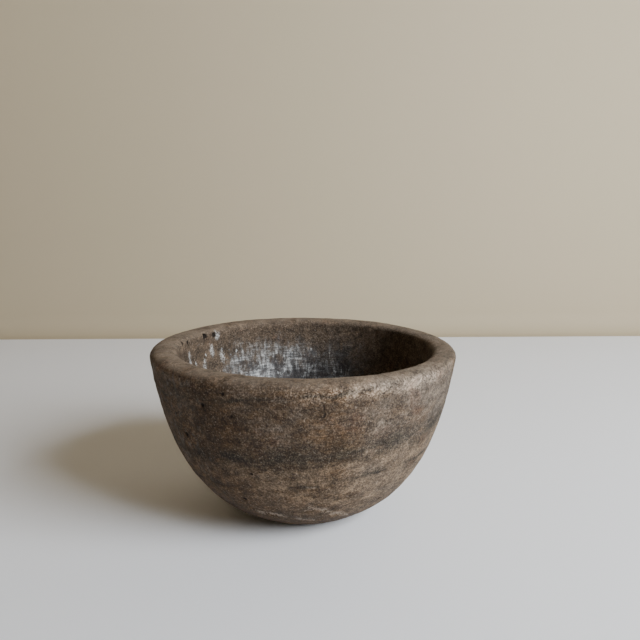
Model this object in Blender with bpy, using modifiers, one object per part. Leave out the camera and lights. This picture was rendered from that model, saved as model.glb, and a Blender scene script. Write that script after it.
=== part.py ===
"""A thick-walled bowl carved from one block of stone.

The bowl is one piece. Its outside, worn lip and hollow are a single outline turned about +Z, and
the hollow then sits a little off the outside's axis, as it does on a bowl that was cut by hand.
The origin is the middle of the flat foot, +Z is up, and every length is in metres.
"""

import math

import bpy
from mathutils import Vector
from mathutils.geometry import interpolate_bezier

# Driving dimensions.
RIM_RADIUS = 0.0900  # outside, where the wall meets the lip
HEIGHT = 0.1000  # foot to the crest of the lip
FOOT_RADIUS = 0.0355  # the flat that the bowl stands on
RIM_WALL = 0.0147  # stone between outside and hollow, just under the lip
FLOOR = 0.0170  # stone under the deepest point of the hollow
LIP_RISE = 0.0040  # how far the nearly flat lip stands above the wall
HOLLOW_OFFSET = 0.0012  # how far the hollow lies towards +X
FOOT_EDGE = 0.0018  # how far the worn edge of the foot is rounded back

# Shape of the curves. A handle is (across, up), as shares of its curve's own width and height.
BELLY_HANDLE = (0.427, 0.132)  # the outside as it leaves the foot: low and full
SHOULDER_HANDLE = (0.182, 0.707)  # the outside as it nears the lip: nearly upright
HOLLOW_WALL_HANDLE = (0.039, 0.725)  # the hollow as it drops from the lip
HOLLOW_FLOOR_HANDLE = 0.663  # the hollow as it levels out, as a share of its width
LIP_SQUARENESS = 2.5  # the lip's section: 2 is an ellipse, and more is flatter on top

# How finely the curves are cut.
TURN_STEPS = 72
OUTSIDE_POINTS = 15
HOLLOW_POINTS = 15
LIP_POINTS = 11
FOOT_EDGE_SEGMENTS = 2
MERGE_DISTANCE = 0.00001

STONE_COLOUR = (0.17, 0.13, 0.10, 1.0)
STONE_ROUGHNESS = 0.78


def clear_scene():
    for obj in list(bpy.data.objects):
        bpy.data.objects.remove(obj)


def outside_curve():
    """Points of the outside, from the lip down to the edge of the foot."""
    width = RIM_RADIUS - FOOT_RADIUS
    rise = HEIGHT - LIP_RISE
    lip = Vector((RIM_RADIUS, 0.0, rise))
    foot = Vector((FOOT_RADIUS, 0.0, 0.0))
    shoulder = lip - Vector((SHOULDER_HANDLE[0] * width, 0.0, SHOULDER_HANDLE[1] * rise))
    belly = foot + Vector((BELLY_HANDLE[0] * width, 0.0, BELLY_HANDLE[1] * rise))
    return interpolate_bezier(lip, shoulder, belly, foot, OUTSIDE_POINTS)


def hollow_curve():
    """Points of the hollow, from its deepest point on the axis up to the lip."""
    width = RIM_RADIUS - RIM_WALL
    rise = HEIGHT - LIP_RISE - FLOOR
    floor = Vector((0.0, 0.0, FLOOR))
    lip = Vector((width, 0.0, HEIGHT - LIP_RISE))
    level = floor + Vector((HOLLOW_FLOOR_HANDLE * width, 0.0, 0.0))
    drop = lip - Vector((HOLLOW_WALL_HANDLE[0] * width, 0.0, HOLLOW_WALL_HANDLE[1] * rise))
    return interpolate_bezier(floor, level, drop, lip, HOLLOW_POINTS)


def lip_curve():
    """Points of the lip between hollow and outside, a squared half ellipse without its two ends."""
    middle = RIM_RADIUS - RIM_WALL / 2
    power = 2 / LIP_SQUARENESS
    points = []
    for step in range(1, LIP_POINTS + 1):
        angle = math.pi * (1 - step / (LIP_POINTS + 1))
        across = math.copysign(abs(math.cos(angle)) ** power, math.cos(angle))
        up = math.sin(angle) ** power
        points.append(
            Vector((middle + across * RIM_WALL / 2, 0.0, HEIGHT - LIP_RISE + up * LIP_RISE))
        )
    return points


def stone_material():
    material = bpy.data.materials.new("weathered_stone")
    material.use_nodes = True
    shader = material.node_tree.nodes["Principled BSDF"]
    shader.inputs["Base Color"].default_value = STONE_COLOUR
    shader.inputs["Roughness"].default_value = STONE_ROUGHNESS
    shader.inputs["Metallic"].default_value = 0.0
    return material


def outline_mesh():
    """The bowl's half section as an open line, and how far each point belongs to the hollow."""
    hollow, lip, outside = hollow_curve(), lip_curve(), outside_curve()
    points = hollow + lip + outside + [Vector((0.0, 0.0, 0.0))]
    shares = [1.0] * len(hollow)
    shares += [1 - step / (LIP_POINTS + 1) for step in range(1, LIP_POINTS + 1)]
    shares += [0.0] * (len(outside) + 1)
    mesh = bpy.data.meshes.new("bowl_section")
    edges = [(start, start + 1) for start in range(len(points) - 1)]
    mesh.from_pydata(points, edges, [])
    return mesh, shares


def make_bowl(collection):
    mesh, hollow_shares = outline_mesh()
    mesh.materials.append(stone_material())
    bowl = bpy.data.objects.new("bowl", mesh)
    collection.objects.link(bowl)

    hollow = bowl.vertex_groups.new(name="hollow")
    for index, share in enumerate(hollow_shares):
        hollow.add([index], share, "REPLACE")
    foot_edge = bowl.vertex_groups.new(name="foot_edge")
    foot_edge.add([len(mesh.vertices) - 2], 1.0, "REPLACE")

    turn = bowl.modifiers.new("turn", "SCREW")
    turn.axis = "Z"
    turn.steps = turn.render_steps = TURN_STEPS
    turn.use_merge_vertices = True
    turn.merge_threshold = MERGE_DISTANCE
    turn.use_smooth_shade = True

    rounding = bowl.modifiers.new("worn_foot_edge", "BEVEL")
    rounding.limit_method = "VGROUP"
    rounding.vertex_group = foot_edge.name
    rounding.width = FOOT_EDGE
    rounding.segments = FOOT_EDGE_SEGMENTS

    # The lip leans with the hollow, so that the wall stays closed and its thickness changes evenly.
    shift = bowl.modifiers.new("hollow_off_centre", "DISPLACE")
    shift.direction = "X"
    shift.mid_level = 0.0
    shift.strength = HOLLOW_OFFSET
    shift.vertex_group = hollow.name
    return bowl


def main():
    clear_scene()
    collection = bpy.data.collections.new("stone_bowl")
    bpy.context.scene.collection.children.link(collection)
    make_bowl(collection)


main()
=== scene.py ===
"""A weathered bowl, carved by hand from one block of layered stone.

One piece is built: the bowl. Its half section is drawn from the sizes below, and a node tree turns
the section into a body and cuts the mason's marks into it. Every length is in metres.
"""
import math
import random

import bmesh
import bpy
from bpy.props import FloatProperty, FloatVectorProperty, IntProperty, PointerProperty
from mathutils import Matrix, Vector
from mathutils.geometry import interpolate_bezier


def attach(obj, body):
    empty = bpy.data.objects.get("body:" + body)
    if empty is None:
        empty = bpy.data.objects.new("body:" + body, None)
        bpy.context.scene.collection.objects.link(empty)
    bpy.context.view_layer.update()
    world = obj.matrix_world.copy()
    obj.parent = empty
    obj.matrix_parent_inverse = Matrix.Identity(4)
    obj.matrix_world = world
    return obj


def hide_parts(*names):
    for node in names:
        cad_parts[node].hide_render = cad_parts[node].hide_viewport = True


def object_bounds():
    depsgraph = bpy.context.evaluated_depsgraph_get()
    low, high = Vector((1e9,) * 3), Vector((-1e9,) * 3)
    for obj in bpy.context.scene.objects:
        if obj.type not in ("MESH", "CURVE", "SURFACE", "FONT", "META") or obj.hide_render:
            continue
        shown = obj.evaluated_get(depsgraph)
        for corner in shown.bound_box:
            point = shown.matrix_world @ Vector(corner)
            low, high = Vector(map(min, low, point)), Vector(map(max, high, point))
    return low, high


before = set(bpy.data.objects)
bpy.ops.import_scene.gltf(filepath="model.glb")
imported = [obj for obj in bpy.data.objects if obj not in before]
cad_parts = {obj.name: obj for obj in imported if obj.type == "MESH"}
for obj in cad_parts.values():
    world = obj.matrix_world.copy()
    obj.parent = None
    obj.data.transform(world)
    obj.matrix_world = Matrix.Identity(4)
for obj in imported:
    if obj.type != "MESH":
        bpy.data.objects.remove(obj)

bl_info = {
    "name": "Carved Stone Bowl",
    "version": (1, 0, 0),
    "blender": (4, 5, 0),
    "location": "View3D > Sidebar > Stone Bowl",
    "description": "Builds a hand-carved stone bowl and a small studio around it",
    "category": "Add Mesh",
}

CAD_NODE = "bowl"
CAD_LOW, CAD_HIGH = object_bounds()
RIM_REACH = (CAD_HIGH.x - CAD_LOW.x) / 2
HEIGHT = CAD_HIGH.z - CAD_LOW.z

# Shape of the section's curves. A handle is (across, up), as shares of its curve's width and height.
BELLY_HANDLE = (0.427, 0.132)
SHOULDER_HANDLE = (0.182, 0.707)
HOLLOW_WALL_HANDLE = (0.039, 0.725)
HOLLOW_FLOOR_HANDLE = 0.663
LIP_SQUARENESS = 2.5
CURVE_POINTS = 48
LIP_POINTS = 31
FLOOR_REACH = 0.046  # how far from the axis the hollow counts as floor rather than wall
UPRIGHT_RADIUS = 0.07  # about how far from the axis the upright strokes have their stated width
MM_PER_METRE = 1000.0  # the depths kept for the stone's finish are in millimetres

# The stone's layers rise towards +X and sink a little towards the back.
LAYER_RISE = (0.10, -0.05)
DARK_LAYER = 0.0555  # height on the axis of the thick dark layer
SEAM_LAYER = 0.0385  # height on the axis of the thin seam under it
TOP_LAYER = 0.0885  # height on the axis of the faint seam near the lip

# Flakes that have come off the outside: degrees round from the front, height, reach and depth.
FLAKES = (
    (-17, 0.0178, 0.0050, 0.0006),
    (8, 0.0240, 0.0050, 0.0006),
    (17, 0.0185, 0.0055, 0.0007),
    (23, 0.0790, 0.0020, 0.0003),
    (58, 0.0260, 0.0060, 0.0007),
    (118, 0.0210, 0.0070, 0.0009),
    (171, 0.0330, 0.0065, 0.0007),
    (-152, 0.0180, 0.0080, 0.0010),
    (-96, 0.0240, 0.0055, 0.0007),
)
# Holes: degrees round from the front, height, reach and depth. The first four are in the hollow.
HOLES = (
    (-119, 0.0965, 0.0022, 0.0020),
    (-126, 0.0960, 0.0016, 0.0015),
    (-96, 0.0960, 0.0015, 0.0014),
    (-102, 0.0955, 0.0016, 0.0015),
    (-52, 0.0738, 0.0016, 0.0011),
    (-48, 0.0628, 0.0020, 0.0012),
    (-26, 0.0920, 0.0014, 0.0010),
    (-20, 0.0480, 0.0013, 0.0010),
    (66, 0.0860, 0.0015, 0.0010),
    (84, 0.0500, 0.0022, 0.0014),
    (131, 0.0700, 0.0018, 0.0012),
    (160, 0.0550, 0.0015, 0.0010),
    (-165, 0.0780, 0.0020, 0.0013),
    (-110, 0.0600, 0.0017, 0.0012),
)
HOLLOW_HOLES = 4
# Small marks at random places: how many, between what heights, how far they reach, and how deep
# they are as a share of that.
RANDOM_FLAKES = (16, (0.010, 0.085), (0.0020, 0.0040), 0.13)
RANDOM_HOLES = (60, (0.012, 0.092), (0.0009, 0.0018), 0.6)
# Hairline cracks in the outside, each a line of (degrees round from the front, height).
CRACKS = (
    ((4.5, 0.0950), (5.8, 0.0890), (6.4, 0.0850), (5.6, 0.0810)),
    ((4.5, 0.0950), (2.8, 0.0938), (1.7, 0.0892)),
    ((122.0, 0.0940), (125.0, 0.0850), (123.0, 0.0780)),
    ((-141.0, 0.0620), (-134.0, 0.0590), (-129.0, 0.0600)),
)
# Thin ragged streaks low on the outside where the skin has gone, as lines like the cracks.
SCARS = (
    ((-24.0, 0.0190), (-17.0, 0.0178), (-10.0, 0.0176)),
    ((2.0, 0.0270), (11.0, 0.0222), (24.0, 0.0142)),
    ((-4.0, 0.0150), (5.0, 0.0132)),
    ((60.0, 0.0262), (73.0, 0.0236)),
    ((111.0, 0.0216), (127.0, 0.0190)),
    ((-160.0, 0.0192), (-146.0, 0.0166)),
    ((-100.0, 0.0246), (-90.0, 0.0232)),
)
# Blue-black stains, dabs of lime and deep pits in the hollow, as lines like the cracks.
STAINS = (
    ((172.0, 0.0840), (165.0, 0.0760), (161.0, 0.0680)),
    ((155.0, 0.0720), (157.0, 0.0600)),
    ((-177.0, 0.0640), (178.0, 0.0560)),
)
LIME_DABS = (
    ((-103.0, 0.0885), (-103.5, 0.0820)),
    ((-117.0, 0.0805), (-116.5, 0.0755)),
    ((-123.5, 0.0875), (-123.5, 0.0830)),
    ((-131.0, 0.0835), (-130.5, 0.0780)),
    ((-128.0, 0.0955), (-128.0, 0.0940)),
)
PITS = (
    ((-119.5, 0.0962), (-118.5, 0.0960)),
    ((-126.3, 0.0955), (-125.7, 0.0955)),
)
SMALL_PITS = (
    ((-96.4, 0.0976), (-95.6, 0.0974)),
    ((-102.4, 0.0966), (-101.6, 0.0964)),
)

# The room, measured from the bowl's axis. Its floor curves up into the wall behind the bowl.
ROOM_LEFT = -2.1
ROOM_RIGHT = 2.4
ROOM_FRONT = -2.4
ROOM_TOP = 1.8
BACK_BEND = 0.48  # where the floor starts to curve up
BACK_BEND_RADIUS = 0.03
BACK_BEND_STEPS = 16
FLOOR_CUTS = (-0.5, 0.2)  # edges across the floor; the second keeps the bend's shading off the bowl
FLOOR_ROUGHNESS = 0.7
WALL_ROUGHNESS = 0.8
WALL_LIGHT_GAP = 0.15  # how far the wall's light stands behind the window's
WALL_LIGHT_SIZE = 0.8
WALL_LIGHT_DIP = 0.2  # how far it looks down over one length of its way
FILL_PLACE = (-0.62, 0.34, 0.62)
FILL_SIZE = 0.3


def amount(name, description, value, **kind):
    return FloatProperty(name=name, description=description, default=value, **kind)


def colour(name, description, value):
    return FloatVectorProperty(
        name=name, description=description, subtype="COLOR", size=4, min=0.0, max=1.0, default=value
    )


class BowlSizes(bpy.types.PropertyGroup):
    rim_radius: amount(
        "Rim radius", "Outside, where the wall meets the lip", RIM_REACH, unit="LENGTH"
    )
    height: amount("Height", "From the foot to the crest of the lip", HEIGHT, unit="LENGTH")
    foot_radius: amount("Foot radius", "The flat that the bowl stands on", 0.0355, unit="LENGTH")
    rim_wall: amount(
        "Rim wall", "Stone between outside and hollow, just under the lip", 0.0147, unit="LENGTH"
    )
    floor: amount("Floor", "Stone under the deepest point of the hollow", 0.0170, unit="LENGTH")
    lip_rise: amount(
        "Lip rise", "How far the nearly flat lip stands above the wall", 0.0040, unit="LENGTH"
    )
    hollow_offset: amount(
        "Hollow offset", "How far the hollow lies towards the right", 0.0012, unit="LENGTH"
    )
    facets: IntProperty(
        name="Facets",
        description="Mesh squares along each side of the cube that the body is shaped from",
        default=128,
        min=8,
        max=128,
    )


class CarvingMarks(bpy.types.PropertyGroup):
    sway: amount(
        "Sway", "How far the surface wanders from a true turned shape", 0.00045, unit="LENGTH"
    )
    rim_lean: amount(
        "Rim lean", "How much lower the lip is at the right than at the left", 0.0012, unit="LENGTH"
    )
    lump_depth: amount(
        "Lump depth", "Height of the soft lumps left by dressing the outside",
        0.00032, unit="LENGTH",
    )
    peck_size: amount(
        "Peck size", "Distance between the marks of the mason's point", 0.0042, unit="LENGTH"
    )
    peck_depth: amount(
        "Peck depth", "Depth of the marks of the mason's point", 0.00022, unit="LENGTH"
    )
    gouge_depth: amount(
        "Gouge depth", "Depth of the upright strokes inside the hollow", 0.00030, unit="LENGTH"
    )
    seam_depth: amount(
        "Seam depth", "How far the weak layers have weathered back", 0.00030, unit="LENGTH"
    )
    seed: IntProperty(
        name="Seed",
        description="Picks where the small random flakes and holes fall",
        default=4,
    )


class StoneColours(bpy.types.PropertyGroup):
    # Brown is also painted as shade, with dirt, low on the left and round the foot.
    brown: colour("Brown", "Old dirt and patina on the outside", (0.054, 0.030, 0.0130, 1.0))
    grey: colour("Grey", "The body of the stone", (0.112, 0.088, 0.067, 1.0))
    tan: colour("Tan", "The paler layers low on the bowl", (0.155, 0.108, 0.068, 1.0))
    rust: colour("Rust", "Faint reddish stains", (0.085, 0.036, 0.019, 1.0))
    dark: colour("Dark layer", "The layers rich in dark mineral", (0.020, 0.016, 0.010, 1.0))
    crystal: colour("Crystal", "Dull neutral crystals", (0.128, 0.108, 0.088, 1.0))
    pale_grain: colour("Pale grain", "Light crystals", (0.30, 0.262, 0.215, 1.0))
    dark_grain: colour("Dark grain", "Dark crystals and open pores", (0.009, 0.005, 0.0025, 1.0))
    # Fresh stone also paints, with the wear, the highlight on the lip's corner at the front right.
    fresh: colour("Fresh stone", "Flaked and worn places", (0.42, 0.34, 0.265, 1.0))
    scuff: colour("Scuff", "Grey scratches on the dark side", (0.150, 0.148, 0.140, 1.0))
    polish: colour("Polished hollow", "The hollow, rubbed smooth by use", (0.094, 0.101, 0.108, 1.0))
    slate: colour("Slate", "Blue-black stains in the hollow", (0.018, 0.019, 0.024, 1.0))
    # Lime also paints, with the scoring, the sheen at the back left of the hollow.
    lime: colour("Lime", "Scratches and specks in the hollow", (0.66, 0.68, 0.68, 1.0))


class Studio(bpy.types.PropertyGroup):
    floor_colour: colour("Floor", "The floor that the bowl stands on", (0.87, 0.89, 0.93, 1.0))
    wall_colour: colour("Wall", "The plain walls round the floor", (0.47, 0.40, 0.28, 1.0))
    room_colour: colour("Room", "Light that comes from all round", (0.056, 0.030, 0.007, 1.0))
    key_colour: colour("Key light", "The window's light", (0.94, 0.97, 1.0, 1.0))
    key_power: amount("Key power", "Power of the window's light", 33.0, unit="POWER")
    wall_power: amount(
        "Wall light power", "Power of the light on the walls behind the window's light",
        14.0, unit="POWER",
    )
    fill_colour: colour("Fill light", "Light thrown back by a warm wall", (1.0, 0.76, 0.52, 1.0))
    fill_power: amount(
        "Fill power", "Power of the light on the bowl's far side", 0.24, unit="POWER"
    )
    key_size: amount("Key size", "Width and height of the window's light", 0.68, unit="LENGTH")
    key_distance: amount("Key distance", "From the bowl to the window's light", 1.3, unit="LENGTH")
    key_turn: amount(
        "Key turn", "Round from the right towards the front", math.radians(34), subtype="ANGLE"
    )
    key_height: amount(
        "Key height", "The light's angle above the floor", math.radians(30), subtype="ANGLE"
    )
    eye_distance: amount(
        "Camera distance", "Along the floor, from the bowl's axis to the camera",
        0.3776, unit="LENGTH",
    )
    eye_height: amount("Camera height", "From the floor to the camera", 0.1830, unit="LENGTH")
    eye_tilt: amount(
        "Camera tilt", "How far the camera looks down", math.radians(10.45), subtype="ANGLE"
    )
    eye_turn: amount(
        "Camera turn", "How far the camera looks to the right of the bowl's axis",
        math.radians(1.49), subtype="ANGLE",
    )
    lens: amount("Lens", "Focal length in millimetres on a sensor 36 mm wide", 36.06)


class Net:
    """A node tree being wired. Each call adds one node and returns the output that is wanted."""

    def __init__(self, tree):
        self.tree = tree

    def add(self, kind, inputs=None, out=0, **settings):
        node = self.tree.nodes.new(kind)
        for name, value in settings.items():
            setattr(node, name, value)
        for socket, value in (inputs or {}).items():
            self.join(value, node.inputs[socket])
        return node.outputs[out]

    def join(self, value, socket):
        if isinstance(value, bpy.types.NodeSocket):
            self.tree.links.new(value, socket)
        else:
            socket.default_value = value

    def math(self, operation, *values, clamp=False):
        return self.add(
            "ShaderNodeMath", dict(enumerate(values)), operation=operation, use_clamp=clamp
        )

    def vector(self, operation, *values, out="Vector"):
        return self.add(
            "ShaderNodeVectorMath", dict(enumerate(values)), out, operation=operation
        )

    def scale(self, vector, factor):
        return self.add(
            "ShaderNodeVectorMath", {"Vector": vector, "Scale": factor}, operation="SCALE"
        )

    def split(self, vector):
        node = self.tree.nodes.new("ShaderNodeSeparateXYZ")
        self.join(vector, node.inputs[0])
        return node.outputs

    def unite(self, x, y, z):
        return self.add("ShaderNodeCombineXYZ", {"X": x, "Y": y, "Z": z})

    def step(self, value, low, high):
        """0 at low and 1 at high, with soft ends; low may be the larger."""
        inputs = {"Value": value, "From Min": low, "From Max": high}
        return self.add("ShaderNodeMapRange", inputs, interpolation_type="SMOOTHSTEP")

    def peak(self, value, middle, width):
        """1 where value is middle, falling softly to 0 at width away from it."""
        away = self.math("ABSOLUTE", self.math("SUBTRACT", value, middle))
        return self.step(away, width, 0.0)

    def noise(self, place, size, detail=2.0, rough=0.5, out="Fac"):
        inputs = {"Vector": place, "Scale": 1 / size, "Detail": detail, "Roughness": rough}
        return self.add("ShaderNodeTexNoise", inputs, out)

    def cells(self, place, size, out="Distance"):
        inputs = {"Vector": place, "Scale": 1 / size}
        return self.add("ShaderNodeTexVoronoi", inputs, out, feature="F1")

    def blend(self, share, first, second):
        inputs = {"Factor": share, 6: first, 7: second}
        return self.add("ShaderNodeMix", inputs, 2, data_type="RGBA", clamp_factor=True)


def layer_height(net, place, wander):
    """Height above the floor of the layer that a place belongs to, measured on the axis."""
    x, y, z = net.split(place)
    level = net.math("SUBTRACT", z, net.math("MULTIPLY", x, LAYER_RISE[0]))
    level = net.math("SUBTRACT", level, net.math("MULTIPLY", y, LAYER_RISE[1]))
    waves = net.math("SUBTRACT", net.noise(place, 0.035, 3.0), 0.5)
    return net.math("MULTIPLY_ADD", waves, wander, level)


def calm_heading(net, place):
    """The way out from the axis: of length 1 beyond FLOOR_REACH, and shrinking to 0 at the axis.

    A plain heading turns fast near the axis, and would draw marks together into a star there."""
    x, y, _ = net.split(place)
    flat = net.unite(x, y, 0.0)
    away = net.vector("LENGTH", flat, out="Value")
    return net.scale(flat, net.math("DIVIDE", 1.0, net.math("MAXIMUM", away, FLOOR_REACH)))


def upright_place(net, place, around, along):
    """A place in which upright strokes are round: around and along are a stroke's width and length."""
    z = net.split(place)[2]
    ring = net.scale(calm_heading(net, place), UPRIGHT_RADIUS / around)
    return net.vector("ADD", ring, net.unite(0.0, 0.0, net.math("DIVIDE", z, along)))


def section_points(sizes):
    """The half section from the middle of the hollow to the middle of the foot.

    Each point is (place, share of hollow, share of lip)."""
    wall_top = sizes.height - sizes.lip_rise
    hollow_width = sizes.rim_radius - sizes.rim_wall
    hollow_rise = wall_top - sizes.floor
    middle = Vector((0.0, 0.0, sizes.floor))
    edge = Vector((hollow_width, 0.0, wall_top))
    hollow = interpolate_bezier(
        middle,
        middle + Vector((HOLLOW_FLOOR_HANDLE * hollow_width, 0.0, 0.0)),
        edge - Vector((HOLLOW_WALL_HANDLE[0] * hollow_width, 0.0, HOLLOW_WALL_HANDLE[1] * hollow_rise)),
        edge,
        CURVE_POINTS,
    )
    width = sizes.rim_radius - sizes.foot_radius
    shoulder = Vector((sizes.rim_radius, 0.0, wall_top))
    foot = Vector((sizes.foot_radius, 0.0, 0.0))
    outside = interpolate_bezier(
        shoulder,
        shoulder - Vector((SHOULDER_HANDLE[0] * width, 0.0, SHOULDER_HANDLE[1] * wall_top)),
        foot + Vector((BELLY_HANDLE[0] * width, 0.0, BELLY_HANDLE[1] * wall_top)),
        foot,
        CURVE_POINTS,
    )
    points = [(place, 1.0, 0.0) for place in hollow]
    for step in range(1, LIP_POINTS + 1):
        share = step / (LIP_POINTS + 1)
        angle = math.pi * (1 - share)
        across = math.copysign(abs(math.cos(angle)) ** (2 / LIP_SQUARENESS), math.cos(angle))
        up = math.sin(angle) ** (2 / LIP_SQUARENESS)
        place = Vector((
            sizes.rim_radius + (across - 1) * sizes.rim_wall / 2,
            0.0,
            wall_top + up * sizes.lip_rise,
        ))
        points.append((place, 1 - share, math.sin(angle)))
    points += [(place, 0.0, 0.0) for place in outside]
    points.append((Vector(), 0.0, 0.0))
    return points


def section_object(sizes):
    points = section_points(sizes)
    mesh = bpy.data.meshes.new("bowl_section")
    edges = [(index, index + 1) for index in range(len(points) - 1)]
    mesh.from_pydata([place for place, _, _ in points], edges, [])
    hollow = mesh.attributes.new("hollow", "FLOAT", "POINT")
    hollow.data.foreach_set("value", [share for _, share, _ in points])
    lip = mesh.attributes.new("lip", "FLOAT", "POINT")
    lip.data.foreach_set("value", [share for _, _, share in points])
    section = bpy.data.objects.new("bowl_section", mesh)
    bpy.context.scene.collection.objects.link(section)
    return section


def radius_at(points, height):
    """Radius of a stretch of the section at a height."""
    nearest = min(points, key=lambda place: abs(place.z - height))
    return nearest.x


def place_at(points, turn, height):
    """The place on a stretch of the section, turned by degrees from the front."""
    radius = radius_at(points, height)
    turn = math.radians(turn)
    return Vector((radius * math.sin(turn), -radius * math.cos(turn), height))


def marks_object(name, marks, points, hollow_marks=0):
    """Loose points on the bowl, one for each mark, with how far it reaches and how deep it is."""
    inside = [place for place, hollow, _ in points if hollow == 1]
    outside = [place for place, hollow, _ in points if hollow == 0]
    places = []
    for index, (turn, height, reach, depth) in enumerate(marks):
        places.append(place_at(inside if index < hollow_marks else outside, turn, height))
    mesh = bpy.data.meshes.new(name)
    mesh.from_pydata(places, [], [])
    for key, column in (("reach", 2), ("depth", 3)):
        attribute = mesh.attributes.new(key, "FLOAT", "POINT")
        attribute.data.foreach_set("value", [mark[column] for mark in marks])
    marked = bpy.data.objects.new(name, mesh)
    bpy.context.scene.collection.objects.link(marked)
    return marked


def scattered_marks(dice, count, heights, reaches, depth_share):
    marks = []
    for _ in range(count):
        reach = dice.uniform(*reaches)
        marks.append((dice.uniform(-180, 180), dice.uniform(*heights), reach, reach * depth_share))
    return marks


def stored(net, body, key, value):
    """The body with a value kept at each of its points under a name."""
    inputs = {"Geometry": body, "Name": key, "Value": value}
    return net.add("GeometryNodeStoreNamedAttribute", inputs, data_type="FLOAT", domain="POINT")


def recalled(net, key):
    return net.add("GeometryNodeInputNamedAttribute", {"Name": key}, data_type="FLOAT")


def mark_depth(net, marks, place, squash, inner):
    """How deep a place lies in its nearest mark.

    It is the mark's depth within the inner share of its reach, and less from there to its edge."""
    shape = net.add("GeometryNodeObjectInfo", {"Object": marks}, "Geometry")
    cloud = net.add("GeometryNodeMeshToPoints", {"Mesh": shape})
    squashed = net.vector("MULTIPLY", net.add("GeometryNodeInputPosition"), (1.0, 1.0, squash))
    cloud = net.add("GeometryNodeSetPosition", {"Geometry": cloud, "Position": squashed})
    place = net.vector("MULTIPLY", place, (1.0, 1.0, squash))
    away = net.add(
        "GeometryNodeProximity", {"Target": cloud, "Source Position": place}, "Distance",
        target_element="POINTS",
    )
    nearest = net.add("GeometryNodeSampleNearest", {"Geometry": cloud, "Sample Position": place})
    found = {}
    for key in ("reach", "depth"):
        inputs = {"Geometry": cloud, "Value": recalled(net, key), "Index": nearest}
        found[key] = net.add("GeometryNodeSampleIndex", inputs)
    share = net.math("DIVIDE", away, found["reach"])
    return net.math("MULTIPLY", net.step(share, 1.0, inner), found["depth"])


def named(tree, name, kind, value=None):
    socket = tree.interface.new_socket(name, in_out="INPUT", socket_type=kind)
    if value is not None:
        socket.default_value = value
    return socket


def bake_map(net, cube):
    """Gives each of the cube's six sides its own part of a map, three across and two up."""
    side = net.add("GeometryNodeInputNormal")
    capture = net.tree.nodes.new("GeometryNodeCaptureAttribute")
    capture.domain = "FACE"
    capture.capture_items.new("VECTOR", "side")
    net.join(cube, capture.inputs["Geometry"])
    net.join(side, capture.inputs["side"])
    facing = capture.outputs["side"]
    flat = net.split(net.vector("ABSOLUTE", facing))
    x, y, z = net.split(net.add("GeometryNodeInputPosition"))
    across = net.math("MULTIPLY", net.math("ADD", flat[1], flat[2]), x)
    across = net.math("MULTIPLY_ADD", flat[0], y, across)
    up = net.math("MULTIPLY", net.math("ADD", flat[0], flat[1]), z)
    up = net.math("MULTIPLY_ADD", flat[2], y, up)
    column = net.math("MULTIPLY_ADD", flat[2], 2.0, flat[1])
    sign = net.vector("DOT_PRODUCT", facing, (1.0, 1.0, 1.0), out="Value")
    row = net.math("MULTIPLY_ADD", sign, 0.5, 0.5)
    u = net.math("DIVIDE", net.math("MULTIPLY_ADD", across, 0.485, net.math("ADD", column, 0.5)), 3.0)
    v = net.math("DIVIDE", net.math("MULTIPLY_ADD", up, 0.485, net.math("ADD", row, 0.5)), 2.0)
    return net.add(
        "GeometryNodeStoreNamedAttribute",
        {"Geometry": capture.outputs["Geometry"], "Name": "OFBake", "Value": net.unite(u, v, 0.0)},
        data_type="FLOAT2",
        domain="CORNER",
    )


def turned_body(net, given):
    """The half section turned into a closed body without poles, with its shares of hollow and lip."""
    corners = net.math("ADD", given["Facets"], 1.0)
    cube = net.add(
        "GeometryNodeMeshCube",
        {"Size": (2.0, 2.0, 2.0), "Vertices X": corners, "Vertices Y": corners, "Vertices Z": corners},
    )
    body = bake_map(net, cube)

    # The cube becomes a ball with even squares, and the ball's height from pole to pole becomes the
    # way along the section, which is nearly the same length.
    quarter = net.scale(net.add("GeometryNodeInputPosition"), math.pi / 4)
    ball = net.vector("NORMALIZE", net.vector("TANGENT", quarter))
    bx, by, bz = net.split(ball)
    along = net.math("DIVIDE", net.math("ARCCOSINE", bz), math.pi)
    heading = net.vector("NORMALIZE", net.unite(bx, by, 0.0))
    section = net.add("GeometryNodeMeshToCurve", {"Mesh": given["Section"]})
    shares = {}
    for key in ("hollow", "lip"):
        inputs = {"Curves": section, "Value": recalled(net, key), "Factor": along}
        shares[key] = net.add("GeometryNodeSampleCurve", inputs, "Value")
    drawn = net.add("GeometryNodeSampleCurve", {"Curves": section, "Factor": along}, "Position")
    radius, _, height = net.split(drawn)
    aside = net.unite(net.math("MULTIPLY", given["Hollow offset"], shares["hollow"]), 0.0, height)
    turned = net.vector("ADD", net.scale(heading, radius), aside)
    tx, ty, tz = net.split(turned)
    rightward = net.math("MULTIPLY_ADD", tx, 0.5 / RIM_REACH, 0.5)
    drop = net.math("MULTIPLY", rightward, given["Rim lean"])
    drop = net.math("MULTIPLY", drop, net.math("DIVIDE", tz, HEIGHT))
    turned = net.unite(tx, ty, net.math("SUBTRACT", tz, drop))
    for key, value in shares.items():
        body = stored(net, body, key, value)
    return net.add("GeometryNodeSetPosition", {"Geometry": body, "Position": turned})


def centred(net, value, depth):
    """Noise as a swing to both sides of 0 that seldom passes a depth."""
    return net.math("MULTIPLY", net.math("SUBTRACT", value, 0.5), net.math("MULTIPLY", depth, 3.0))


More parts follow.
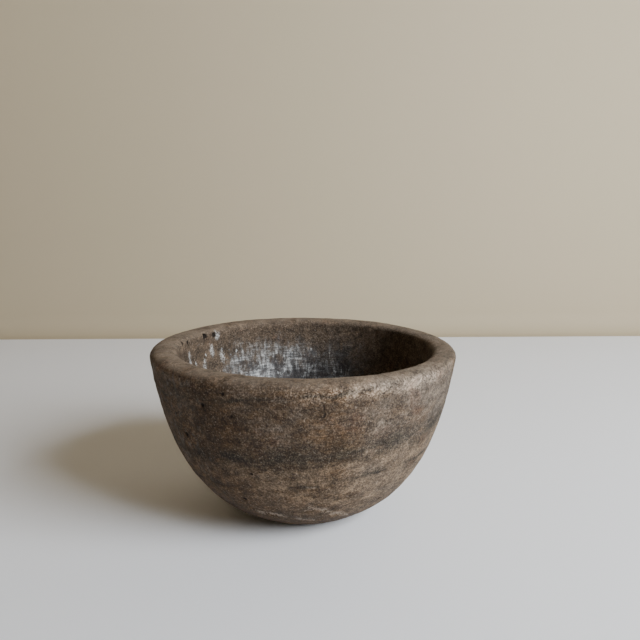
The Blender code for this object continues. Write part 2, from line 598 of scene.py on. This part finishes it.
def tool_marks(net, given, place, hollow):
    """How far the lumps, the point's pecks, the gouge's strokes and the weak seams move the surface."""
    outside = net.math("SUBTRACT", 1.0, hollow)
    lumps = centred(net, net.noise(place, 0.010, 3.0, 0.55), given["Lump depth"])
    lumps = net.math("MULTIPLY", lumps, net.math("MULTIPLY_ADD", outside, 0.75, 0.25))
    calmer = net.math("MULTIPLY_ADD", recalled(net, "lip"), -0.5, 1.0)
    lumps = net.math("MULTIPLY", lumps, calmer)
    peck_scale = net.math("DIVIDE", 1.0, given["Peck size"])
    pecks = net.add(
        "ShaderNodeTexVoronoi", {"Vector": place, "Scale": peck_scale}, "Distance", feature="F1"
    )
    pecked = net.math("MULTIPLY", net.step(net.noise(place, 0.02), 0.35, 0.65), outside)
    pecks = net.math("MULTIPLY", net.math("SUBTRACT", pecks, 0.6), given["Peck depth"])
    pecks = net.math("MULTIPLY", pecks, pecked)
    strokes = net.noise(upright_place(net, place, 0.0045, 0.030), 1.0, 2.0)
    strokes = centred(net, strokes, given["Gouge depth"])
    x, y, _ = net.split(place)
    wall = net.step(net.vector("LENGTH", net.unite(x, y, 0.0), out="Value"), 0.020, 0.045)
    strokes = net.math("MULTIPLY", strokes, net.math("MULTIPLY", hollow, wall))
    level = layer_height(net, place, 0.006)
    seam = net.math(
        "MAXIMUM", net.peak(level, SEAM_LAYER, 0.0013), net.peak(level, TOP_LAYER, 0.0010)
    )
    seam = net.math("MULTIPLY", seam, net.step(net.noise(place, 0.018), 0.42, 0.6))
    seam = net.math("MULTIPLY", net.math("MULTIPLY", seam, outside), given["Seam depth"])
    fine = net.math("ADD", net.math("ADD", lumps, pecks), strokes)
    return net.math("SUBTRACT", fine, seam)


def carved_body(net, given, body):
    """Moves the body's surface by all of its marks, and keeps their depths for the finish."""
    place = net.add("GeometryNodeInputPosition")
    hollow = recalled(net, "hollow")
    sway = centred(net, net.noise(place, 0.055, 1.0), given["Sway"])
    fine = tool_marks(net, given, place, hollow)
    jitter = net.vector("SUBTRACT", net.noise(place, 0.004, 2.0, out="Color"), (0.5, 0.5, 0.5))
    rough_place = net.vector("ADD", place, net.scale(jitter, 0.0018))
    flake = mark_depth(net, given["Flakes"], rough_place, 2.6, 0.72)
    rough_place = net.vector("ADD", place, net.scale(jitter, 0.0008))
    hole = mark_depth(net, given["Holes"], rough_place, 1.0, 0.25)
    cut = net.math("ADD", flake, hole)
    total = net.math("SUBTRACT", net.math("ADD", sway, fine), cut)
    off_foot = net.math("MAXIMUM", net.step(net.split(place)[2], 0.0, 0.006), hollow)
    total = net.math("MULTIPLY", total, off_foot)
    for key, value in (("relief", fine), ("flake", flake), ("hole", hole)):
        body = stored(net, body, key, net.math("MULTIPLY", value, MM_PER_METRE))
    offset = net.scale(net.add("GeometryNodeInputNormal"), total)
    return net.add("GeometryNodeSetPosition", {"Geometry": body, "Offset": offset})


def carving_tree(material):
    """Turns a half section into a body, and cuts the marks into it."""
    tree = bpy.data.node_groups.new("carve_bowl", "GeometryNodeTree")
    sockets = {
        "Section": named(tree, "Section", "NodeSocketGeometry"),
        "Facets": named(tree, "Facets", "NodeSocketInt", 128),
        "Flakes": named(tree, "Flakes", "NodeSocketObject"),
        "Holes": named(tree, "Holes", "NodeSocketObject"),
    }
    amounts = (
        "Hollow offset", "Rim lean", "Sway", "Lump depth",
        "Peck size", "Peck depth", "Gouge depth", "Seam depth",
    )
    for name in amounts:
        sockets[name] = named(tree, name, "NodeSocketFloat")
    tree.interface.new_socket("Bowl", in_out="OUTPUT", socket_type="NodeSocketGeometry")
    net = Net(tree)
    given = tree.nodes.new("NodeGroupInput").outputs
    body = carved_body(net, given, turned_body(net, given))

    # The foot is ground flat.
    x, y, z = net.split(net.add("GeometryNodeInputPosition"))
    ground = net.unite(x, y, net.math("MAXIMUM", z, 0.0))
    body = net.add("GeometryNodeSetPosition", {"Geometry": body, "Position": ground})
    body = net.add("GeometryNodeSetShadeSmooth", {"Geometry": body})
    body = net.add("GeometryNodeRealizeInstances", {"Geometry": body})
    body = net.add("GeometryNodeSetMaterial", {"Geometry": body, "Material": material})
    net.join(body, tree.nodes.new("NodeGroupOutput").inputs[0])
    return tree, sockets


def line_distance(net, place, start, end):
    """Distance from a place to the straight line between two fixed points."""
    way = end - start
    from_start = net.vector("SUBTRACT", place, start)
    share = net.vector("DOT_PRODUCT", from_start, way / way.length_squared, out="Value")
    share = net.math("ADD", share, 0.0, clamp=True)
    return net.vector("DISTANCE", place, net.vector("MULTIPLY_ADD", share, way, start), out="Value")


def line_share(net, place, lines, wander, edge, core):
    """1 within core of a line of (degrees, height), 0 beyond edge of it; wander makes it ragged."""
    jitter = net.noise(place, 0.0035, 4.0, 0.65, out="Color")
    jitter = net.vector("SUBTRACT", jitter, (0.5, 0.5, 0.5))
    x, y, z = net.split(net.vector("ADD", place, net.scale(jitter, wander)))
    heading = net.vector("NORMALIZE", net.unite(x, y, 0.0))
    place = net.vector("ADD", net.scale(heading, RIM_REACH), net.unite(0.0, 0.0, z))
    nearest = 1.0
    for line in lines:
        bends = []
        for turn, height in line:
            turn = math.radians(turn)
            bends.append(Vector((RIM_REACH * math.sin(turn), -RIM_REACH * math.cos(turn), height)))
        for start, end in zip(bends, bends[1:]):
            nearest = net.math("MINIMUM", nearest, line_distance(net, place, start, end))
    return net.step(nearest, edge, core)


def facing_share(net, place, turn, wide, narrow):
    """1 within narrow degrees of a heading round from the front, 0 beyond wide degrees of it.

    Nearer to the axis than FLOOR_REACH it fades, on the hollow's floor and low on the outside."""
    towards = (math.sin(math.radians(turn)), -math.cos(math.radians(turn)), 0.0)
    cosine = net.vector("DOT_PRODUCT", calm_heading(net, place), towards, out="Value")
    return net.step(cosine, math.cos(math.radians(wide)), math.cos(math.radians(narrow)))


class StoneNet(Net):
    """The stone's node tree, with what every layer of its finish reads about a place."""

    def __init__(self, tree, colours):
        super().__init__(tree)
        self.colours = colours
        self.place = self.add("ShaderNodeTexCoord", out="Object")
        self.x, self.y, self.z = self.split(self.place)
        self.hollow, self.lip, self.relief, self.flake, self.hole = (
            self.add("ShaderNodeAttribute", out="Fac", attribute_name=name)
            for name in ("hollow", "lip", "relief", "flake", "hole")
        )
        self.outside = self.math("SUBTRACT", 1.0, self.hollow)
        self.level = layer_height(self, self.place, 0.010)
        self.bedded = self.layered(2.6)

    def layered(self, stretch):
        """A place in which noise is drawn out along the stone's layers."""
        return self.unite(self.x, self.y, self.math("MULTIPLY", self.level, stretch))

    def times(self, *shares):
        product = shares[0]
        for share in shares[1:]:
            product = self.math("MULTIPLY", product, share)
        return product

    def more(self, value, factor, rest):
        return self.math("MULTIPLY_ADD", value, factor, rest)

    def tint(self, tone, share, strength, towards):
        return self.blend(self.times(share, strength), tone, towards)

    def facing(self, turn, wide, narrow):
        return facing_share(self, self.place, turn, wide, narrow)

    def on_lines(self, lines, wander, edge, core):
        return line_share(self, self.place, lines, wander, edge, core)

    def upright_noise(self, around, along, detail, rough):
        return self.noise(upright_place(self, self.place, around, along), 1.0, detail, rough)


def layered_body(stone):
    """Brown dirt over grey stone in tilted layers, with painted light at the front right and painted
    shade low on the left and round the foot. Gives the tone, and how much brown a place has, which the
    painted light lowers at the front right.
    """
    colours = stone.colours
    patches = stone.noise(stone.place, 0.034, 4.0, 0.6)
    streaks = stone.noise(stone.bedded, 0.014, 6.0, 0.72)
    mottle = stone.more(streaks, 0.5, stone.times(patches, 0.5))
    # Painted light: the outside is made paler and greyer at the front right, where the window light
    # falls, partly as cleaner stone.
    cleaner_and_lit = stone.times(stone.facing(40, 33, 8), stone.outside)
    mottle = stone.more(cleaner_and_lit, -0.17, stone.math("ADD", mottle, 0.055))
    inner_left = stone.times(stone.x, -2.6, stone.hollow)
    mottle = stone.math("ADD", mottle, inner_left)
    dirt_and_painted_light = stone.times(stone.step(mottle, 0.30, 0.62), stone.more(stone.hollow, -0.55, 1.0))
    tone = stone.blend(dirt_and_painted_light, colours.grey, colours.brown)
    rusty = stone.step(stone.noise(stone.place, 0.019, 3.0, 0.6), 0.56, 0.68)
    tone = stone.tint(tone, rusty, 0.30, colours.rust)
    under = stone.step(stone.level, DARK_LAYER + 0.001, DARK_LAYER - 0.007)
    tone = stone.tint(tone, stone.times(under, stone.step(streaks, 0.66, 0.42)), 0.8, colours.tan)
    band = stone.peak(stone.level, DARK_LAYER + 0.0005, 0.0095)
    band = stone.times(band, stone.step(stone.noise(stone.bedded, 0.013, 6.0, 0.72), 0.32, 0.60))
    low_seam = stone.peak(stone.level, SEAM_LAYER, 0.0022)
    seam = stone.math("MAXIMUM", low_seam, stone.peak(stone.level, TOP_LAYER, 0.0024))
    seam = stone.times(seam, stone.step(stone.noise(stone.bedded, 0.018, 5.0, 0.7), 0.42, 0.60))
    dark = stone.times(stone.math("MAXIMUM", band, seam), stone.outside)
    tone = stone.tint(tone, dark, 0.85, colours.dark)
    # Painted shade with dirt: the outside is browner low on the left, the side turned away from the
    # window light.
    low_left_dirt_and_shade = stone.times(stone.facing(-52, 44, 16), stone.peak(stone.z, 0.036, 0.024))
    tone = stone.tint(tone, stone.times(low_left_dirt_and_shade, stone.outside), 0.70, colours.brown)
    # Painted shade with dirt: a brown band round the foot, reaching higher on the left, where shade
    # gathers under the bowl.
    leaning = stone.more(stone.x, 0.30, stone.z)
    foot_dirt_and_shade = stone.times(stone.step(leaning, 0.042, 0.006), stone.outside)
    return stone.tint(tone, foot_dirt_and_shade, 0.92, colours.brown), dirt_and_painted_light


def rubbed_share(stone):
    """Where use has rubbed the hollow smooth: all of its floor, and up the wall at the back."""
    lobes = stone.upright_noise(0.013, 0.017, 6.0, 0.78)
    reach = stone.more(lobes, 3.0, stone.math("SUBTRACT", stone.facing(-174, 58, 4), 1.5))
    below = stone.more(stone.upright_noise(0.007, 0.012, 6.0, 0.78), -0.060, stone.z)
    climbing = stone.times(stone.step(below, 0.062, 0.034), stone.step(reach, 0.15, 0.85))
    ragged = stone.more(stone.noise(stone.place, 0.016, 6.0, 0.72), 0.060, stone.z)
    bottom = stone.times(stone.step(ragged, 0.082, 0.056), 0.80)
    return stone.times(stone.hollow, stone.math("MAXIMUM", climbing, bottom))


def polished_hollow(stone, tone, rubbed):
    """Blue-grey polish, scored pale and dark, with a painted sheen at the back left. Gives the tone and
    the scoring's strokes.
    """
    colours = stone.colours
    clouds = stone.upright_noise(0.009, 0.008, 6.0, 0.75)
    polish = stone.blend(stone.step(clouds, 0.41, 0.59), colours.polish, colours.slate)
    upright = stone.upright_noise(0.0013, 0.0075, 4.0, 0.75)
    across = stone.upright_noise(0.0085, 0.0011, 4.0, 0.75)
    strokes = stone.more(upright, 0.55, stone.times(across, 0.45))
    scoring_and_sheen = stone.step(stone.upright_noise(0.014, 0.020, 4.0, 0.7), 0.40, 0.66)
    # Painted sheen: the pale scoring is also thickest at the back left of the hollow, where the window
    # light glints, besides its patches all round.
    scoring_and_sheen = stone.math("MAXIMUM", stone.times(scoring_and_sheen, 0.8), stone.facing(-155, 30, 8))
    dabs = stone.times(stone.step(strokes, 0.45, 0.61), stone.step(clouds, 0.60, 0.42), scoring_and_sheen)
    polish = stone.tint(polish, dabs, 0.97, colours.lime)
    polish = stone.tint(polish, stone.step(strokes, 0.49, 0.37), 0.55, colours.slate)
    stained = stone.times(
        stone.on_lines(STAINS, 0.020, 0.0110, 0.0030), stone.step(strokes, 0.60, 0.44)
    )
    polish = stone.tint(polish, stained, 0.9, colours.slate)
    upper = stone.times(stone.hollow, stone.step(stone.z, 0.060, 0.090))
    tone = stone.tint(tone, upper, 0.16, colours.brown)
    tone = stone.tint(tone, rubbed, 0.86, polish)
    limed = stone.times(stone.facing(-117, 40, 12), stone.peak(stone.z, 0.078, 0.018))
    flecks = stone.upright_noise(0.0036, 0.0050, 3.0, 0.7)
    flecks = stone.step(stone.more(limed, 0.085, flecks), 0.70, 0.79)
    return stone.tint(tone, stone.times(flecks, stone.hollow), 0.75, colours.lime), strokes


def crystal_grain(stone):
    """Noise of the size of single crystals."""
    bent = stone.noise(stone.place, 0.0010, 2.0, out="Color")
    bent = stone.vector("SUBTRACT", bent, (0.5, 0.5, 0.5))
    bent = stone.vector("ADD", stone.place, stone.scale(bent, 0.0009))
    crystal = stone.split(stone.cells(bent, 0.00075, out="Color"))[0]
    grain = stone.noise(stone.place, 0.0009, 2.0, 0.7)
    return stone.more(crystal, 0.22, stone.times(grain, 0.78))


def weathered(stone, tone, grain, weather, dirt_and_painted_light, rubbed):
    """Darkens and lightens the stone at every scale, less where it is rubbed."""
    colours = stone.colours
    fade = stone.more(rubbed, -0.45, 1.0)
    swing = stone.times(stone.math("SUBTRACT", weather, 0.5), 3.9)
    speckle = stone.noise(stone.place, 0.0026, 3.0, 0.6)
    swing = stone.more(stone.math("SUBTRACT", speckle, 0.5), 1.5, swing)
    swing = stone.more(stone.math("SUBTRACT", grain, 0.5), 3.3, swing)
    swing = stone.times(swing, stone.more(dirt_and_painted_light, 0.15, 1.0))
    tone = stone.scale(tone, stone.math("EXPONENT", stone.times(swing, fade)))
    wisps = stone.step(stone.noise(stone.bedded, 0.0060, 5.0, 0.75), 0.58, 0.80)
    tone = stone.tint(tone, stone.times(wisps, fade), 0.34, colours.dark)
    grains = (
        (0.50, 0.70, 0.42, colours.crystal),
        (0.62, 0.80, 0.42, colours.pale_grain),
        (0.36, 0.24, 0.50, colours.dark_grain),
    )
    for low, high, strength, towards in grains:
        tone = stone.tint(tone, stone.times(stone.step(grain, low, high), fade), strength, towards)
    return tone


def worn(stone, tone, grain):
    """Scuffs, the worn lip and its corner with a painted highlight. Gives the tone and where the corner
    is worn and painted bright.
    """
    colours = stone.colours
    scuffs = stone.step(stone.upright_noise(0.0032, 0.0060, 5.0, 0.78), 0.50, 0.66)
    scuffed = stone.times(stone.facing(-72, 44, 14), stone.outside, scuffs)
    tone = stone.tint(tone, scuffed, 0.55, colours.scuff)
    lip_wear = stone.step(stone.noise(stone.place, 0.009, 5.0, 0.7), 0.28, 0.62)
    lip_wear = stone.times(stone.lip, lip_wear, stone.more(stone.x, -3.6, 1.0))
    tone = stone.tint(tone, lip_wear, 0.25, colours.fresh)
    # The outer corner under the lip is worn paler all round, and far brighter at the front right, where
    # the window light falls: wear with a painted highlight, in its tone and pale crumbs.
    corner = stone.times(stone.peak(stone.z, 0.0948, 0.0062), stone.outside)
    patchy = stone.step(stone.noise(stone.place, 0.0075, 6.0, 0.82), 0.34, 0.68)
    front_right_highlight = stone.more(stone.facing(27, 36, 4), 0.88, 0.12)
    corner = stone.times(corner, patchy, front_right_highlight)
    tone = stone.scale(tone, stone.more(corner, 2.3, 1.0))
    crumbs = stone.times(corner, stone.step(grain, 0.40, 0.58))
    return stone.tint(tone, crumbs, 0.78, colours.fresh), corner


def marked(stone, tone, grain):
    """Flakes, scars, cracks, lime and pits. Gives the tone, the cracks and the pits."""
    colours = stone.colours
    tone = stone.tint(tone, stone.step(stone.relief, -0.04, -0.30), 0.35, colours.dark_grain)
    torn = stone.math("SUBTRACT", stone.noise(stone.place, 0.0030, 5.0, 0.78), 0.5)
    crumbled = stone.math("ADD", torn, grain)
    flaked = stone.step(stone.more(torn, 2.2, stone.flake), 0.30, 0.72)
    flaked = stone.times(flaked, stone.step(stone.flake, 0.02, 0.20))
    tone = stone.tint(tone, flaked, 0.34, colours.fresh)
    scarred = stone.times(stone.on_lines(SCARS, 0.0060, 0.0024, 0.0003), stone.outside)
    scarred = stone.times(scarred, stone.step(crumbled, 0.34, 0.62))
    tone = stone.tint(tone, scarred, 0.56, colours.fresh)
    crack = stone.times(stone.on_lines(CRACKS, 0.0032, 0.00070, 0.00008), stone.outside)
    crack = stone.times(crack, stone.step(stone.noise(stone.place, 0.0028, 3.0, 0.7), 0.36, 0.58))
    tone = stone.tint(tone, crack, 0.62, colours.dark_grain)
    dabbed = stone.times(stone.on_lines(LIME_DABS, 0.0080, 0.0032, 0.0004), stone.hollow)
    dabbed = stone.times(dabbed, stone.step(crumbled, 0.30, 0.66))
    tone = stone.tint(tone, dabbed, 0.50, colours.lime)
    small = stone.on_lines(SMALL_PITS, 0.0008, 0.0012, 0.0007)
    pitted = stone.math("MAXIMUM", stone.on_lines(PITS, 0.0010, 0.0017, 0.0011), small)
    pitted = stone.times(pitted, stone.step(stone.hollow, 0.45, 0.62))
    tone = stone.tint(tone, pitted, 0.96, colours.dark_grain)
    return stone.blend(stone.step(stone.hole, 0.20, 0.60), tone, colours.dark_grain), crack, pitted


def raised_grain(stone, grain, weather, rubbed, strokes, crack, pitted):
    """The bump of grain, open pores, scoring, cracks and pits."""
    pores = stone.step(stone.cells(stone.place, 0.0021), 0.14, 0.34)
    pores = stone.math("MAXIMUM", pores, stone.step(stone.noise(stone.place, 0.008), 0.50, 0.42))
    surface = stone.more(pores, 0.4, stone.times(grain, 0.9))
    surface = stone.more(weather, 1.6, surface)
    surface = stone.times(surface, stone.more(rubbed, -0.75, 1.0))
    surface = stone.more(stone.times(strokes, rubbed), 0.8, surface)
    surface = stone.more(crack, -1.2, surface)
    surface = stone.more(pitted, -2.5, surface)
    inputs = {"Strength": 1.0, "Distance": 0.00045, "Height": surface}
    return stone.add("ShaderNodeBump", inputs, "Normal")


def stone_material(colours):
    material = bpy.data.materials.new("weathered_stone")
    material.use_nodes = True
    shader = material.node_tree.nodes["Principled BSDF"]
    stone = StoneNet(material.node_tree, colours)
    grain = crystal_grain(stone)
    weather = stone.noise(stone.layered(1.7), 0.011, 6.0, 0.85)
    rubbed = rubbed_share(stone)
    tone, dirt_and_painted_light = layered_body(stone)
    tone, strokes = polished_hollow(stone, tone, rubbed)
    tone = weathered(stone, tone, grain, weather, dirt_and_painted_light, rubbed)
    tone, corner = worn(stone, tone, grain)
    tone, crack, pitted = marked(stone, tone, grain)
    stone.join(tone, shader.inputs["Base Color"])

    rough = stone.more(grain, 0.20, 0.74)
    rough = stone.more(rubbed, -0.44, rough)
    rough = stone.more(corner, -0.15, rough)
    stone.join(rough, shader.inputs["Roughness"])
    shader.inputs["Specular IOR Level"].default_value = 0.30
    bump = raised_grain(stone, grain, weather, rubbed, strokes, crack, pitted)
    stone.join(bump, shader.inputs["Normal"])
    return material


def plain_mesh(builder, name):
    """The evaluated builder as a mesh object of its own; the builder is removed."""
    depsgraph = bpy.context.evaluated_depsgraph_get()
    mesh = bpy.data.meshes.new_from_object(builder.evaluated_get(depsgraph), depsgraph=depsgraph)
    mesh.name = name
    bpy.data.objects.remove(builder)
    piece = bpy.data.objects.new(name, mesh)
    bpy.context.scene.collection.objects.link(piece)
    return piece


class STONEBOWL_OT_carve(bpy.types.Operator):
    """Carve the bowl in the place of its plain solid"""

    bl_idname = "stonebowl.carve"
    bl_label = "Carve the bowl"

    def execute(self, context):
        sizes = context.scene.bowl_sizes
        cuts = context.scene.bowl_marks
        points = section_points(sizes)
        dice = random.Random(cuts.seed)
        flakes = list(FLAKES) + scattered_marks(dice, *RANDOM_FLAKES)
        holes = list(HOLES) + scattered_marks(dice, *RANDOM_HOLES)
        helpers = {
            "Flakes": marks_object("flake_marks", flakes, points),
            "Holes": marks_object("hole_marks", holes, points, HOLLOW_HOLES),
        }
        section = section_object(sizes)
        tree, sockets = carving_tree(stone_material(context.scene.stone_colours))
        modifier = section.modifiers.new("carve", "NODES")
        modifier.node_group = tree
        values = {
            "Facets": sizes.facets,
            "Hollow offset": sizes.hollow_offset,
            "Rim lean": cuts.rim_lean,
            "Sway": cuts.sway,
            "Lump depth": cuts.lump_depth,
            "Peck size": cuts.peck_size,
            "Peck depth": cuts.peck_depth,
            "Gouge depth": cuts.gouge_depth,
            "Seam depth": cuts.seam_depth,
        }
        for name, value in {**values, **helpers}.items():
            modifier[sockets[name].identifier] = value
        bowl = plain_mesh(section, "carved_bowl")
        for helper in helpers.values():
            bpy.data.objects.remove(helper)
        if len(bowl.data.polygons) < sizes.facets**2:
            raise RuntimeError("the bowl came out empty")
        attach(bowl, "root")
        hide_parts(CAD_NODE)
        return {"FINISHED"}


def stage_room(floor_material, wall_material):
    """A floor that curves up into a backdrop behind the bowl, with three plain walls farther off."""
    left, right, front, top = ROOM_LEFT, ROOM_RIGHT, ROOM_FRONT, ROOM_TOP
    bend, radius = BACK_BEND, BACK_BEND_RADIUS
    outline = [(front, 0.0)] + [(cut, 0.0) for cut in FLOOR_CUTS]
    for step in range(BACK_BEND_STEPS + 1):
        angle = math.pi / 2 * step / BACK_BEND_STEPS
        outline.append((bend + radius * math.sin(angle), radius * (1 - math.cos(angle))))
    outline.append((bend + radius, top))
    mesh = bpy.data.meshes.new("floor")
    work = bmesh.new()
    west = [work.verts.new((left, y, z)) for y, z in outline]
    east = [work.verts.new((right, y, z)) for y, z in outline]
    for index in range(len(outline) - 1):
        face = work.faces.new((west[index], east[index], east[index + 1], west[index + 1]))
        face.material_index = int(outline[index][0] >= bend)
    back = bend + radius
    corners = [(left, back), (left, front), (right, front), (right, back)]
    for (x0, y0), (x1, y1) in zip(corners, corners[1:]):
        wall = [(x0, y0, 0.0), (x1, y1, 0.0), (x1, y1, top), (x0, y0, top)]
        face = work.faces.new([work.verts.new(corner) for corner in wall])
        face.material_index = 1
    work.to_mesh(mesh)
    work.free()
    mesh.shade_smooth()
    mesh.materials.append(floor_material)
    mesh.materials.append(wall_material)
    floor = bpy.data.objects.new("floor", mesh)
    bpy.context.scene.collection.objects.link(floor)
    return floor


def plain_material(name, colour_value, roughness):
    material = bpy.data.materials.new(name)
    material.use_nodes = True
    shader = material.node_tree.nodes["Principled BSDF"]
    shader.inputs["Base Color"].default_value = colour_value
    shader.inputs["Roughness"].default_value = roughness
    return material


def soft_light(name, place, aim, size, power, light_colour):
    """A square light at a place, which shines towards aim."""
    lamp = bpy.data.lights.new(name, "AREA")
    lamp.shape = "SQUARE"
    lamp.size = size
    lamp.energy = power
    lamp.color = light_colour[:3]
    light = bpy.data.objects.new(name, lamp)
    light.location = place
    light.rotation_euler = (place - aim).to_track_quat("Z", "Y").to_euler()
    bpy.context.scene.collection.objects.link(light)


class STONEBOWL_OT_stage(bpy.types.Operator):
    """Add the room with its floor, the lights and the camera"""

    bl_idname = "stonebowl.stage"
    bl_label = "Set the stage"

    def execute(self, context):
        scene = context.scene
        studio = scene.studio
        floor = stage_room(
            plain_material("pale_plaster", studio.floor_colour, FLOOR_ROUGHNESS),
            plain_material("warm_plaster", studio.wall_colour, WALL_ROUGHNESS),
        )

        room = bpy.data.worlds.new("room")
        room.use_nodes = True
        background = room.node_tree.nodes["Background"]
        background.inputs["Color"].default_value = studio.room_colour
        background.inputs["Strength"].default_value = 1.0
        scene.world = room

        towards = Vector((
            math.cos(studio.key_turn) * math.cos(studio.key_height),
            -math.sin(studio.key_turn) * math.cos(studio.key_height),
            math.sin(studio.key_height),
        ))
        target = Vector((0.0, 0.0, scene.bowl_sizes.height / 2))
        window = target + towards * studio.key_distance
        soft_light("window", window, target, studio.key_size, studio.key_power, studio.key_colour)
        # The walls behind the window's light are lit too, and the bowl's far side a little.
        behind = window + towards * WALL_LIGHT_GAP
        away = behind + Vector((towards.x, towards.y, -WALL_LIGHT_DIP))
        soft_light(
            "wall_light", behind, away, WALL_LIGHT_SIZE, studio.wall_power, studio.key_colour
        )
        far_side = Vector(FILL_PLACE)
        soft_light(
            "fill_light", far_side, target, FILL_SIZE, studio.fill_power, studio.fill_colour
        )

        lens = bpy.data.cameras.new("camera")
        lens.lens = studio.lens
        lens.sensor_width = 36.0
        lens.clip_start = 0.01
        camera = bpy.data.objects.new("camera", lens)
        camera.location = (0.0, -studio.eye_distance, studio.eye_height)
        camera.rotation_euler = (math.pi / 2 - studio.eye_tilt, 0.0, -studio.eye_turn)
        scene.collection.objects.link(camera)
        scene.camera = camera
        return {"FINISHED"}


class STONEBOWL_PT_sidebar(bpy.types.Panel):
    bl_label = "Stone Bowl"
    bl_space_type = "VIEW_3D"
    bl_region_type = "UI"
    bl_category = "Stone Bowl"

    def draw(self, context):
        for operator in OPERATORS:
            self.layout.operator(operator.bl_idname)
        for name, group in GROUPS.items():
            box = self.layout.box()
            box.label(text=group.__name__)
            for key in group.__annotations__:
                box.prop(getattr(context.scene, name), key)


GROUPS = {
    "bowl_sizes": BowlSizes,
    "bowl_marks": CarvingMarks,
    "stone_colours": StoneColours,
    "studio": Studio,
}
OPERATORS = (STONEBOWL_OT_carve, STONEBOWL_OT_stage)
CLASSES = (*GROUPS.values(), *OPERATORS, STONEBOWL_PT_sidebar)


def register():
    for cls in CLASSES:
        bpy.utils.register_class(cls)
    for name, group in GROUPS.items():
        setattr(bpy.types.Scene, name, PointerProperty(type=group))


def unregister():
    for name in GROUPS:
        delattr(bpy.types.Scene, name)
    for cls in reversed(CLASSES):
        bpy.utils.unregister_class(cls)


def main():
    register()
    bpy.ops.stonebowl.carve()
    bpy.ops.stonebowl.stage()


if __name__ == "__main__":
    main()
